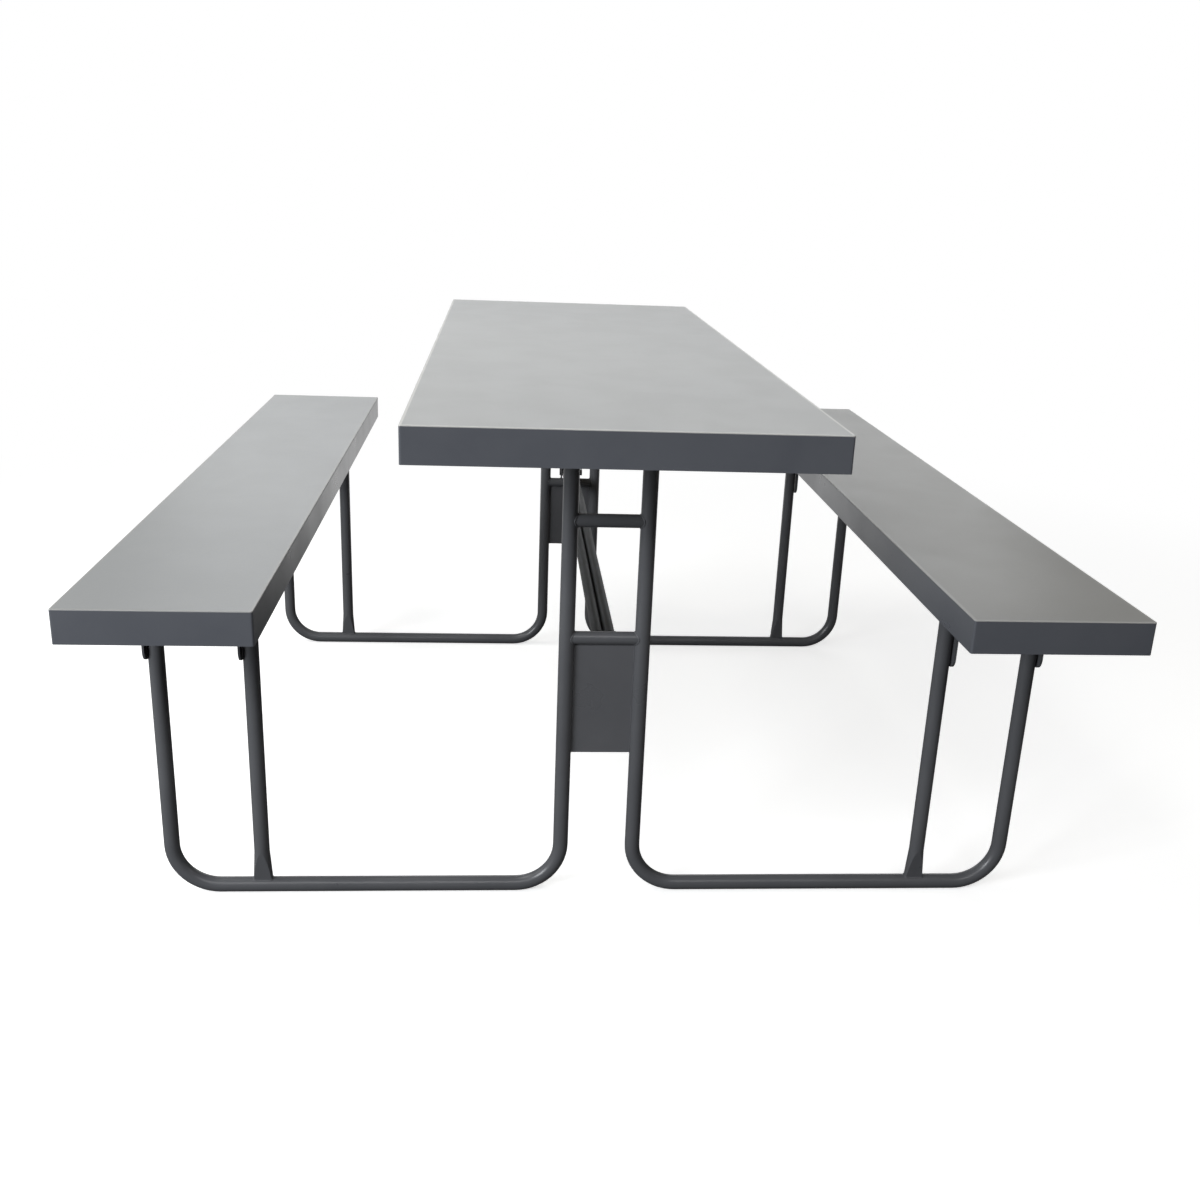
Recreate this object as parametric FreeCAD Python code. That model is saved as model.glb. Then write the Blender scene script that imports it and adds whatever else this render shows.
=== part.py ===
import FreeCAD, Part
import math
import os
from collections import namedtuple

from FreeCAD import Vector

os.makedirs("parts", exist_ok=True)

# Cafeteria folding table with two benches, in millimetres. The origin is on the floor under the
# middle of the tabletop: X runs across the table, Y along it, Z up. Two upright end frames of bent
# tube carry the tabletop and both benches on pivots that lie along X, so the frames, the tops and
# the stay between the frames are the sides of one parallelogram. Folding swings the feet of both
# frames towards +Y until the frames lie flat under the tops. "Outward" means away from x = 0.

# ---- tabletop and benches ----
table_length = 1500.0
table_width = 533.0
table_height = 750.0
apron_depth = 46.5           # with the edge of the sheet above it
bench_length = 1500.0
bench_width = 236.0
bench_height = 522.0
bench_middle_x = 559.0
skirt_depth = 44.5
sheet_thickness = 3.0        # the grey sheet that faces each top
board_thickness = 18.0
rim_thickness = 1.5
rim_lip_width = 15.0
corner_radius = 3.0
sheet_chamfer = 0.6

# ---- cross channels under the boards ----
channel_width = 60.0
channel_flange = 14.0
channel_thickness = 1.5
table_channel_height = 16.0
bench_channel_height = 14.0
channel_end_gap = 2.0        # to the lip of the rim

# ---- end frames ----
frame_spacing = 1044.0
leg_x = 623.0
post_x = 494.0
riser_x = 54.0
tube_diameter = 22.2
tube_wall = 1.5
bend_radius = 67.0
foot_height = 45.0           # length of the squeezed foot of a post
foot_thickness = 12.0
foot_width = 28.0
bar_diameter = 19.0
bar_wall = 1.5
upper_bar_drop = 93.5        # the bars' axes below the pivots of the risers
front_bar_drop = 265.5
rear_bar_drop = 290.5
front_plate_height = 168.5
rear_plate_height = 131.5
plate_thickness = 3.0

# ---- stay between the frames ----
stay_tube_diameter = 17.0
stay_tube_wall = 1.2
stay_tube_gap = 0.4
stay_eye_diameter = 17.5
lug_thickness = 3.0
lug_radius = 8.0

# ---- pivots ----
bench_pivot_drop = 12.5      # below the skirt
riser_pivot_drop = 30.0      # below the apron
bench_bolt_diameter = 8.0
bolt_head_diameter = 16.0
bolt_head_height = 2.2
head_chamfer = 0.9
nut_width = 13.0             # across its flats
nut_height = 6.5
sleeve_diameter = 12.0
tube_stub = 9.0              # tube above its pivot
bracket_thickness = 3.0
bracket_base_length = 50.0
bench_ear_radius = 16.0
bench_ear_drop = 79.0        # from the pivot to the middle of the ear's round end
riser_pin_diameter = 10.0
pin_head_diameter = 15.0
pin_head_height = 1.6
riser_ear_radius = 12.0
riser_ear_thickness = 4.0
tongue_thickness = 12.0
tongue_radius = 10.0
tongue_shank = 30.0

# ---- clearances ----
running_clearance = 0.1      # radial, a pin in a bore that turns on it
seat_clearance = 0.3         # between faces that slide or stop on each other
board_clearance = 0.3
sweep_clearance = 1.05       # between the stay and a lower bar as they swing past
shank_clearance = 0.05
sleeve_stand_out = 0.2       # a sleeve's end face past the side of its tube
nearly = 0.01                # how close a coordinate must be to count as on a plane

# ---- worked out from the sizes above ----
tube_radius = tube_diameter / 2
bore_radius = tube_radius - tube_wall
rail_z = tube_radius
front_y = -frame_spacing / 2
rear_y = frame_spacing / 2
riser_pivot_z = table_height - apron_depth - riser_pivot_drop
bench_pivot_z = bench_height - skirt_depth - bench_pivot_drop
leg_top_z = bench_pivot_z + tube_stub
riser_top_z = riser_pivot_z - riser_ear_radius - seat_clearance
stay_tube_radius = stay_tube_diameter / 2
stay_tube_x = (stay_tube_diameter + stay_tube_gap) / 2
stay_eye_radius = stay_eye_diameter / 2
upper_bar_z = riser_pivot_z - upper_bar_drop
front_bar_z = riser_pivot_z - front_bar_drop
rear_bar_z = riser_pivot_z - rear_bar_drop
stay_offset = bar_diameter / 2 + max(stay_tube_radius, stay_eye_radius) + sweep_clearance
stay_z = rear_bar_z + stay_offset
stay_half_width = stay_tube_x + stay_tube_radius
lug_inner_x = stay_half_width + seat_clearance
sleeve_half_length = tube_radius + sleeve_stand_out

Top = namedtuple("Top", "name x length width height rim_depth channel_height")
TABLE = Top("table", 0.0, table_length, table_width, table_height, apron_depth, table_channel_height)
BENCHES = {
    side: Top(name, side * bench_middle_x, bench_length, bench_width, bench_height, skirt_depth,
              bench_channel_height)
    for side, name in ((-1, "left_bench"), (1, "right_bench"))
}
SIDES = ((-1, "left"), (1, "right"))
FRAMES = ((front_y, "front"), (rear_y, "rear"))


# ---- building blocks ----

def block(x0, x1, y0, y1, z0, z1):
    """A box between two planes on each axis, given in either order."""
    low = Vector(min(x0, x1), min(y0, y1), min(z0, z1))
    return Part.makeBox(abs(x1 - x0), abs(y1 - y0), abs(z1 - z0), low)


def rounded_block(x0, x1, y0, y1, z0, z1, radius):
    """A box with its four upright edges rounded."""
    body = block(x0, x1, y0, y1, z0, z1)
    upright = [e for e in body.Edges if abs(e.tangentAt(e.FirstParameter).z) > 1 - nearly]
    return body.makeFillet(radius, upright)


def rod_x(x0, x1, y, z, radius):
    """A cylinder along X."""
    start = Vector(min(x0, x1), y, z)
    return Part.makeCylinder(radius, abs(x1 - x0), start, Vector(1, 0, 0))


def ring_x(x0, x1, y, z, outer_radius, inner_radius):
    """A bush or tube along X."""
    return rod_x(x0, x1, y, z, outer_radius).cut(rod_x(x0, x1, y, z, inner_radius))


def upright_rod(x, y, z0, z1, radius):
    """A cylinder along Z."""
    return Part.makeCylinder(radius, z1 - z0, Vector(x, y, z0))


def hex_nut(x_face, direction, y, z, bore):
    """A nut that sits on the plane x_face and reaches along X in the given direction."""
    corner = nut_width / math.sqrt(3)
    points = []
    for step in range(7):
        angle = math.radians(60 * step)
        points.append(Vector(x_face, y + corner * math.cos(angle), z + corner * math.sin(angle)))
    face = Part.Face(Part.makePolygon(points))
    body = face.extrude(Vector(direction * nut_height, 0, 0))
    return body.cut(rod_x(x_face, x_face + direction * nut_height, y, z, bore))


def low_head(x_face, direction, y, z, radius, height):
    """A flat rivet or bolt head with a chamfered rim, outward from the plane x_face."""
    x_outer = x_face + direction * height
    head = rod_x(x_face, x_outer, y, z, radius)
    rim = [e for e in head.Edges if abs(e.CenterOfMass.x - x_outer) < nearly and e.isClosed()]
    return head.makeChamfer(head_chamfer, rim)


def save(shape, node):
    """Writes one node of the assembly, a solid or a group of separate solids."""
    shape.exportStep(os.path.join("parts", node + ".step"))


def group(solids):
    """Separate solids that share one node."""
    return Part.makeCompound(solids)


# ---- tops: the tabletop and the two benches are made alike ----

def board_underside_z(top):
    return top.height - sheet_thickness - board_thickness


def channel_underside_z(top):
    return board_underside_z(top) - top.channel_height


def inner_half_width(top):
    return top.width / 2 - rim_thickness


def surface_sheet(top):
    """The thin grey sheet over the board and the top edge of the rim."""
    half_width = top.width / 2
    half_length = top.length / 2
    z0 = top.height - sheet_thickness
    sheet = rounded_block(top.x - half_width, top.x + half_width, -half_length, half_length,
                          z0, top.height, corner_radius)
    upper = [e for e in sheet.Edges if min(v.Z for v in e.Vertexes) > top.height - nearly]
    return sheet.makeChamfer(sheet_chamfer, upper)


def core_board(top):
    """The board inside the rim, flush with the rim's top edge."""
    half_width = inner_half_width(top) - board_clearance
    half_length = top.length / 2 - rim_thickness - board_clearance
    radius = corner_radius - rim_thickness
    return rounded_block(top.x - half_width, top.x + half_width, -half_length, half_length,
                         board_underside_z(top), top.height - sheet_thickness, radius)


def folded_rim(top):
    """The sheet-steel apron or skirt: four sides and a lip turned inward along the bottom."""
    half_width = top.width / 2
    half_length = top.length / 2
    z0 = top.height - top.rim_depth
    z1 = top.height - sheet_thickness
    inset = rim_thickness
    lip = rim_thickness + rim_lip_width
    outside = rounded_block(top.x - half_width, top.x + half_width, -half_length, half_length,
                            z0, z1, corner_radius)
    inside = rounded_block(top.x - half_width + inset, top.x + half_width - inset,
                           -half_length + inset, half_length - inset,
                           z0 + rim_thickness, z1, corner_radius - rim_thickness)
    opening = block(top.x - half_width + lip, top.x + half_width - lip,
                    -half_length + lip, half_length - lip, z0, z1)
    return outside.cut(inside).cut(opening)


def cross_channel(top, y):
    """A hat-section channel across the underside of a board, open side up."""
    half = channel_width / 2
    t = channel_thickness
    z_low = channel_underside_z(top)
    z_top = board_underside_z(top)
    reach = half + channel_flange
    section = [
        (-reach, z_top), (-reach, z_top - t), (-half, z_top - t), (-half, z_low),
        (half, z_low), (half, z_top - t), (reach, z_top - t), (reach, z_top),
        (half - t, z_top), (half - t, z_low + t), (-half + t, z_low + t), (-half + t, z_top),
    ]
    half_span = inner_half_width(top) - rim_lip_width - channel_end_gap
    corners = [Vector(top.x - half_span, y + dy, z) for dy, z in section + section[:1]]
    return Part.Face(Part.makePolygon(corners)).extrude(Vector(2 * half_span, 0, 0))


def bench_bracket(bench, side, tube_x, y):
    """An angle bracket: its base lies under the channel. Its ear hangs on the tube's outward side
    and reaches down past the pivot, so that the tube can't lean outward."""
    base_z = channel_underside_z(bench) - bracket_thickness
    tip_z = bench_pivot_z - bench_ear_drop
    ear_x = side * (tube_x + sleeve_half_length + seat_clearance)
    ear_outer_x = ear_x + side * bracket_thickness
    inner_x = side * (tube_x - tube_radius)
    base = block(inner_x, ear_outer_x, y - bracket_base_length / 2, y + bracket_base_length / 2,
                 base_z, base_z + bracket_thickness)
    ear = block(ear_x, ear_outer_x, y - bench_ear_radius, y + bench_ear_radius, tip_z, base_z)
    tip = rod_x(ear_x, ear_outer_x, y, tip_z, bench_ear_radius)
    hole = rod_x(ear_x, ear_outer_x, y, bench_pivot_z, bench_bolt_diameter / 2)
    return base.fuse([ear, tip]).cut(hole).removeSplitter()


def bench_bolt(side, tube_x, y):
    """A low-headed bolt from the tube's inner side out through the ear and the nut."""
    head_x = side * (tube_x - sleeve_half_length - seat_clearance)
    ear_outer_x = side * (tube_x + sleeve_half_length + seat_clearance + bracket_thickness)
    end_x = ear_outer_x + side * nut_height
    shank = rod_x(head_x, end_x, y, bench_pivot_z, bench_bolt_diameter / 2)
    head = low_head(head_x, -side, y, bench_pivot_z, bolt_head_diameter / 2, bolt_head_height)
    return shank.fuse(head).removeSplitter()


def bench_nut(side, tube_x, y):
    ear_outer_x = side * (tube_x + sleeve_half_length + seat_clearance + bracket_thickness)
    return hex_nut(ear_outer_x, side, y, bench_pivot_z, bench_bolt_diameter / 2)


def riser_bracket(side, y):
    """A channel-shaped clevis under the tabletop. Its web is on the -Y side of the riser's tongue
    and stops the frame upright; the ears are rounded about the pivot so that the riser can swing
    towards +Y."""
    middle_x = side * riser_x
    base_z = channel_underside_z(TABLE) - bracket_thickness
    inner = tongue_thickness / 2 + seat_clearance
    outer = inner + riser_ear_thickness
    web_y = y - tongue_radius - seat_clearance
    front = web_y - bracket_thickness
    low_z = riser_pivot_z - riser_ear_radius
    ears = block(middle_x - outer, middle_x + outer, front, y + riser_ear_radius, riser_pivot_z, base_z)
    tip = rod_x(middle_x - outer, middle_x + outer, y, riser_pivot_z, riser_ear_radius)
    toe = block(middle_x - outer, middle_x + outer, front, y, low_z, riser_pivot_z)
    slot = block(middle_x - inner, middle_x + inner, web_y, y + riser_ear_radius, low_z, base_z)
    base = block(middle_x - outer, middle_x + outer,
                 y - bracket_base_length / 2, y + bracket_base_length / 2,
                 base_z, base_z + bracket_thickness)
    hole = rod_x(middle_x - outer, middle_x + outer, y, riser_pivot_z, riser_pin_diameter / 2)
    return ears.fuse([tip, toe]).cut(slot).fuse(base).cut(hole).removeSplitter()


def riser_pin(side, y):
    """A headed pin through the clevis and the tongue, closed over at its other end."""
    middle_x = side * riser_x
    half = tongue_thickness / 2 + seat_clearance + riser_ear_thickness
    radius = pin_head_diameter / 2
    shank = rod_x(middle_x - half, middle_x + half, y, riser_pivot_z, riser_pin_diameter / 2)
    heads = [low_head(middle_x + end * half, end, y, riser_pivot_z, radius, pin_head_height)
             for end in (-1, 1)]
    return shank.fuse(heads).removeSplitter()


# ---- end frames ----

def hoop_path(side, y):
    """The centreline of one bent tube: down the outer leg, along the floor, up the riser."""
    r = bend_radius
    diagonal = r * (1 - math.sqrt(0.5))
    outer_x = side * leg_x
    inner_x = side * riser_x
    leg_bend = [Vector(outer_x, y, rail_z + r),
                Vector(outer_x - side * diagonal, y, rail_z + diagonal),
                Vector(outer_x - side * r, y, rail_z)]
    riser_bend = [Vector(inner_x + side * r, y, rail_z),
                  Vector(inner_x + side * diagonal, y, rail_z + diagonal),
                  Vector(inner_x, y, rail_z + r)]
    return Part.Wire([
        Part.LineSegment(Vector(outer_x, y, leg_top_z), leg_bend[0]).toShape(),
        Part.Arc(*leg_bend).toShape(),
        Part.LineSegment(leg_bend[2], riser_bend[0]).toShape(),
        Part.Arc(*riser_bend).toShape(),
        Part.LineSegment(riser_bend[2], Vector(inner_x, y, riser_top_z)).toShape(),
    ])


def swept_rod(path, start, direction, radius):
    """A round bar swept along a wire from its start."""
    section = Part.Wire(Part.makeCircle(radius, start, direction))
    return path.makePipeShell([section], True, True)


def cross_hole(x, y):
    """The cut through a tube for the sleeve of a bench pivot."""
    return rod_x(x - tube_diameter, x + tube_diameter, y, bench_pivot_z, sleeve_diameter / 2)


def hoop(side, y):
    """One bent tube of an end frame, with the hole for its bench pivot near the outer top."""
    path = hoop_path(side, y)
    start = Vector(side * leg_x, y, leg_top_z)
    outside = swept_rod(path, start, Vector(0, 0, -1), tube_radius)
    inside = swept_rod(path, start, Vector(0, 0, -1), bore_radius)
    return outside.cut(inside).cut(cross_hole(side * leg_x, y))


def post_blank(x, y, radius, half_width, half_depth):
    """A round upright whose foot flares and is pressed flat in front and behind. It reaches down to
    the axis of the rail."""
    press_z = rail_z + tube_radius
    squeeze_z = press_z + foot_height
    shaft = upright_rod(x, y, squeeze_z, leg_top_z, radius)
    flare = Part.makeCone(half_width, radius, foot_height, Vector(x, y, press_z))
    sides = [(-half_depth, press_z), (half_depth, press_z), (radius, squeeze_z), (-radius, squeeze_z)]
    corners = [Vector(x - half_width, y + dy, z) for dy, z in sides + sides[:1]]
    press = Part.Face(Part.makePolygon(corners)).extrude(Vector(2 * half_width, 0, 0))
    sole = upright_rod(x, y, rail_z, press_z, half_width)
    sole_press = block(x - half_width, x + half_width, y - half_depth, y + half_depth, rail_z, press_z)
    return shaft.fuse([flare.common(press), sole.common(sole_press)])


def post(side, y):
    """The inner post of a bench: a tube with a squeezed foot, shaped to sit on the rail."""
    x = side * post_x
    outside = post_blank(x, y, tube_radius, foot_width / 2, foot_thickness / 2)
    inside = post_blank(x, y, bore_radius, foot_width / 2 - tube_wall, foot_thickness / 2 - tube_wall)
    rail = rod_x(x - foot_width, x + foot_width, y, rail_z, tube_radius)
    body = outside.cut(inside).cut(rail).cut(cross_hole(x, y))
    return max(body.Solids, key=lambda solid: solid.Volume)


def cross_bar(y, z):
    """A short tube between the risers, its ends shaped to their round sides."""
    bar = ring_x(-riser_x, riser_x, y, z, bar_diameter / 2, bar_diameter / 2 - bar_wall)
    risers = [upright_rod(side * riser_x, y, z - tube_diameter, z + tube_diameter, tube_radius)
              for side, name in SIDES]
    return bar.cut(risers)


def centre_plate(y, bar_z, height):
    """The flat plate between the risers, welded along both and under the lower bar."""
    half_width = riser_x - tube_radius
    top_z = bar_z - bar_diameter / 2
    return block(-half_width, half_width, y - plate_thickness / 2, y + plate_thickness / 2,
                 top_z - height, top_z)


def riser_tongue(side, y):
    """The solid tongue in the riser's open top: a shank in the bore, a round head on the pivot."""
    middle_x = side * riser_x
    half = tongue_thickness / 2
    shank_depth = math.sqrt(bore_radius ** 2 - half ** 2) - shank_clearance
    head = rod_x(middle_x - half, middle_x + half, y, riser_pivot_z, tongue_radius)
    neck = block(middle_x - half, middle_x + half, y - tongue_radius, y + tongue_radius,
                 riser_top_z, riser_pivot_z)
    shank = block(middle_x - half, middle_x + half, y - shank_depth, y + shank_depth,
                  riser_top_z - tongue_shank, riser_top_z)
    bore = rod_x(middle_x - half, middle_x + half, y, riser_pivot_z,
                 riser_pin_diameter / 2 + running_clearance)
    return head.fuse([neck, shank]).cut(bore).removeSplitter()


def pivot_sleeve(side, tube_x, y):
    """The bush welded through the top of a leg or post, which turns on the bench's bolt."""
    x = side * tube_x
    return ring_x(x - sleeve_half_length, x + sleeve_half_length, y, bench_pivot_z,
                  sleeve_diameter / 2, bench_bolt_diameter / 2 + running_clearance)


def stay_lug(side, y, bar_z):
    """A lug from the back of the lower bar to the stay's pivot, with full round ends."""
    pivot = Vector(side * lug_inner_x, y + stay_offset, stay_z)
    bar = Vector(side * lug_inner_x, y, bar_z)
    along = (pivot - bar).normalize()
    across = Vector(0, -along.z, along.y) * lug_radius
    end = along * lug_radius
    outline = Part.Wire([
        Part.LineSegment(bar + across, pivot + across).toShape(),
        Part.Arc(pivot + across, pivot + end, pivot - across).toShape(),
        Part.LineSegment(pivot - across, bar - across).toShape(),
        Part.Arc(bar - across, bar - end, bar + across).toShape(),
    ])
    lug = Part.Face(outline).extrude(Vector(side * lug_thickness, 0, 0))
    reach = side * (lug_inner_x + lug_thickness)
    bar_rod = rod_x(0, reach, y, bar_z, bar_diameter / 2)
    hole = rod_x(0, reach, y + stay_offset, stay_z, bench_bolt_diameter / 2)
    return lug.cut([bar_rod, hole])


def stay_bolt(y):
    """The bolt through both lugs and the stay's eye, head on the left."""
    face_x = lug_inner_x + lug_thickness
    pivot_y = y + stay_offset
    shank = rod_x(-face_x, face_x + nut_height, pivot_y, stay_z, bench_bolt_diameter / 2)
    head = low_head(-face_x, -1, pivot_y, stay_z, bolt_head_diameter / 2, bolt_head_height)
    return shank.fuse(head).removeSplitter()


def stay_nut(y):
    face_x = lug_inner_x + lug_thickness
    return hex_nut(face_x, 1, y + stay_offset, stay_z, bench_bolt_diameter / 2)


# ---- the stay ----

def stay_eye(y):
    """The cross bush at one end of the stay, which turns on the stay's bolt."""
    return ring_x(-stay_half_width, stay_half_width, y + stay_offset, stay_z,
                  stay_eye_radius, bench_bolt_diameter / 2 + running_clearance)


def stay_tube(side):
    """One of the two tubes that lie side by side, its ends shaped to the eyes."""
    x = side * stay_tube_x
    start = Vector(x, front_y + stay_offset, stay_z)
    outside = Part.makeCylinder(stay_tube_radius, frame_spacing, start, Vector(0, 1, 0))
    inside = Part.makeCylinder(stay_tube_radius - stay_tube_wall, frame_spacing, start, Vector(0, 1, 0))
    eyes = [rod_x(-stay_half_width, stay_half_width, y + stay_offset, stay_z, stay_eye_radius)
            for y, name in FRAMES]
    return outside.cut(inside).cut(eyes)


# ---- the assembly ----

def save_top(top, prefix, rim_name):
    save(surface_sheet(top), prefix + "_surface")
    save(core_board(top), prefix + "_board")
    save(folded_rim(top), prefix + "_" + rim_name)
    for y, place in FRAMES:
        save(cross_channel(top, y), prefix + "_channel_" + place)


def save_table():
    save_top(TABLE, "table", "apron")
    pins = []
    for y, place in FRAMES:
        for side, hand in SIDES:
            save(riser_bracket(side, y), "riser_bracket_" + place + "_" + hand)
            pins.append(riser_pin(side, y))
    save(group(pins), "riser_pivot_pins")


def save_bench(side):
    bench = BENCHES[side]
    save_top(bench, bench.name, "skirt")
    bolts = []
    nuts = []
    for y, place in FRAMES:
        for tube_x, part in ((leg_x, "outer"), (post_x, "inner")):
            save(bench_bracket(bench, side, tube_x, y), bench.name + "_bracket_" + place + "_" + part)
            bolts.append(bench_bolt(side, tube_x, y))
            nuts.append(bench_nut(side, tube_x, y))
    save(group(bolts), bench.name + "_bolts")
    save(group(nuts), bench.name + "_nuts")


def save_frame(y, place, bar_z, plate_height):
    sleeves = []
    for side, hand in SIDES:
        save(hoop(side, y), place + "_" + hand + "_hoop")
        save(post(side, y), place + "_" + hand + "_post")
        sleeves.append(pivot_sleeve(side, leg_x, y))
        sleeves.append(pivot_sleeve(side, post_x, y))
    save(group(sleeves), place + "_pivot_sleeves")
    save(group([riser_tongue(side, y) for side, hand in SIDES]), place + "_riser_tongues")
    save(centre_plate(y, bar_z, plate_height), place + "_centre_plate")
    save(cross_bar(y, bar_z), place + "_lower_bar")
    save(group([stay_lug(side, y, bar_z) for side, hand in SIDES]), place + "_stay_lugs")
    save(stay_bolt(y), place + "_stay_bolt")
    save(stay_nut(y), place + "_stay_nut")


def save_stay():
    for side, hand in SIDES:
        save(stay_tube(side), "stay_tube_" + hand)
    for y, place in FRAMES:
        save(stay_eye(y), "stay_eye_" + place)


save_table()
for bench_side in BENCHES:
    save_bench(bench_side)
save_frame(front_y, "front", front_bar_z, front_plate_height)
save_frame(rear_y, "rear", rear_bar_z, rear_plate_height)
# Only the front frame has the upper bar: at the rear the stay swings up through that space.
save(cross_bar(front_y, upper_bar_z), "front_upper_bar")
save_stay()
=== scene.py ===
import math

import bpy
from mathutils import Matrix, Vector


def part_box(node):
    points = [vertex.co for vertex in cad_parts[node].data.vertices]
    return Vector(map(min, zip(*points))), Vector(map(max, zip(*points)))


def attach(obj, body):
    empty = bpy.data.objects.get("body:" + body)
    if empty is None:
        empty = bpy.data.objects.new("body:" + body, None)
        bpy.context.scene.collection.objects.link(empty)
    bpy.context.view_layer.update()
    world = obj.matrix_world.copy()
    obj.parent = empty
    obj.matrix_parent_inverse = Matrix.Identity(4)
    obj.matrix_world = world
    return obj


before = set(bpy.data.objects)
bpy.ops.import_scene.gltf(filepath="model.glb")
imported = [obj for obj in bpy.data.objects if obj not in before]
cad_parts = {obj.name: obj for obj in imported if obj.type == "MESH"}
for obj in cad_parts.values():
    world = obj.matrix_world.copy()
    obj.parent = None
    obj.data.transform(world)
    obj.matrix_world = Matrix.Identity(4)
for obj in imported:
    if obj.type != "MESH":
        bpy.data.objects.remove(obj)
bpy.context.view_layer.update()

# Looks of a folding cafeteria table with two benches: grey laminate tops in painted steel rims, on
# frames of painted steel tube. Lengths are in metres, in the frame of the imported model: X across
# the table, Y along it, Z up from the floor. This script adds the weld beads, the seams of the rims
# and the screws, and gives every piece its finish.

MM = 0.001
SIDES = (-1, 1)
BENCHES = ("left_bench", "right_bench")

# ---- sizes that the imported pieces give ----


def box_middle(node):
    """The middle of a piece's box."""
    low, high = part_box(node)
    return (Vector(low) + Vector(high)) / 2


def box_half(node):
    """Half of a piece's extent along each axis."""
    low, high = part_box(node)
    return (Vector(high) - Vector(low)) / 2


tube_radius = box_half("front_left_hoop").y
rail_z = tube_radius
post_x = box_middle("front_right_post").x
foot_half_width = box_half("front_right_post").x
plate_half_width = box_half("front_centre_plate").x
plate_half_thickness = box_half("front_centre_plate").y
riser_x = plate_half_width + tube_radius
bar_radius = box_half("front_lower_bar").y
stay_half_width = box_half("stay_eye_front").x
stay_eye_radius = box_half("stay_eye_front").y
stay_tube_radius = box_half("stay_tube_left").x
stay_tube_x = stay_half_width - stay_tube_radius
lug_face_x = box_half("front_stay_lugs").x

# ---- sizes of the added pieces ----
foot_half_thickness = 6 * MM
bead_radius = 1.3 * MM
small_bead_radius = 0.9 * MM
seam_radius = 0.35 * MM
bead_ripple = 0.22           # share of the bead's radius that comes and goes
ripple_pitch = 2.2 * MM
steps_per_ripple = 4
bead_evenness = (0.92, 1.04) # least and greatest share of the bead's radius, at random
bead_sides = 8
foot_bead_points = 48
bar_bead_points = 40
lug_bead_points = 16
eye_bead_points = 14
eye_bead_arcs = ((40, 140), (220, 320))  # degrees round a stay tube, from +X
stitch_length = 26 * MM
plate_stitches = 4
bar_stitches = 2
lug_half_turn = 53.0         # degrees of the bar's round on each side of a lug's middle line
seam_start = 2 * MM          # from the rim's outer faces
rim_lip = 16.5 * MM          # the rim's wall and its lip together
pan_head_radius = 4.0 * MM
pan_head_height = 2.4 * MM
dome_rings = (0.985, 0.93, 0.82, 0.68)  # their shares of the head's radius
dome_power = 0.275           # 0.5 would be an ellipse, and less is flatter on top
recess_arm = 0.56            # share of the head's radius
recess_half_width = 0.13     # share of the head's radius, where two arms meet
recess_taper = (0.95, 0.8)   # shares of that width half way along an arm and at its tip
recess_tip = 1.04            # share of the arm, at the middle of its rounded tip
recess_floor = (0.8, 0.45)   # the floor's share of the mouth's size, and of the head's height
hex_head_width = 8.0 * MM    # across its flats
hex_head_height = 2.4 * MM
hex_flat_top = 0.97          # share of half the width across its flats
hex_chamfer_slope = 0.6
hex_points_per_side = 4
washer_radius = 5.2 * MM
washer_thickness = 0.8 * MM
screws_per_flange = 4
flange_screw_inset = 7 * MM  # from the channel's outer edge
flange_end_inset = 30 * MM   # from the channel's ends
bracket_screw_inset = 6 * MM # from the end of a bracket's base
bracket_thickness = 3 * MM
channel_thickness = 1.5 * MM
smooth_below = 35            # degrees between faces that still shade as one
dark_edge = (1.6 * MM, 1.1 * MM)  # depths in a sheet's edge: fully dark, and where that begins


# ---- node building ----

def feed(tree, socket, value):
    """Sets a socket to a plain value, or links another node's socket to it."""
    if isinstance(value, bpy.types.NodeSocket):
        tree.links.new(value, socket)
    else:
        socket.default_value = value


def add(tree, kind, inputs=None, **settings):
    """A node with its settings; each input is a plain value or another node's socket."""
    made = tree.nodes.new(kind)
    for name, value in settings.items():
        setattr(made, name, value)
    for key, value in (inputs or {}).items():
        feed(tree, made.inputs[key], value)
    return made


def calc(tree, operation, a, b=0.0):
    """The output of a Math node."""
    return add(tree, "ShaderNodeMath", {0: a, 1: b}, operation=operation).outputs[0]


def vector_calc(tree, operation, a, b):
    """The vector output of a Vector Math node."""
    return add(tree, "ShaderNodeVectorMath", {0: a, 1: b}, operation=operation).outputs[0]


def split(tree, vector):
    """The X, Y and Z of a vector."""
    return add(tree, "ShaderNodeSeparateXYZ", {0: vector}).outputs


def ramp(tree, value, low, high, to_low=0.0, to_high=1.0):
    """A value mapped from one range to another, clamped and smoothed at both ends."""
    inputs = {"Value": value, "From Min": low, "From Max": high,
              "To Min": to_low, "To Max": to_high}
    made = add(tree, "ShaderNodeMapRange", inputs, interpolation_type="SMOOTHSTEP", clamp=True)
    return made.outputs[0]


def named_socket(sockets, identifier):
    """One of several sockets that carry the same label, by its identifier."""
    return next(s for s in sockets if s.identifier == identifier)


def blend_colour(tree, factor, a, b):
    """Colour a where the factor is 0 and colour b where it is 1."""
    made = add(tree, "ShaderNodeMix", data_type="RGBA")
    for identifier, value in (("Factor_Float", factor), ("A_Color", a), ("B_Color", b)):
        feed(tree, named_socket(made.inputs, identifier), value)
    return named_socket(made.outputs, "Result_Color")


def tinted(tree, mask, share, colour, tint):
    """A colour blended towards a tint by a share of a mask."""
    return blend_colour(tree, calc(tree, "MULTIPLY", mask, share), colour, tint)


def raised(tree, start, *steps):
    """A start value plus a share of each mask. The steps are (mask, share) pairs."""
    total = start
    for mask, share in steps:
        total = calc(tree, "ADD", calc(tree, "MULTIPLY", mask, share), total)
    return total


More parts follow.
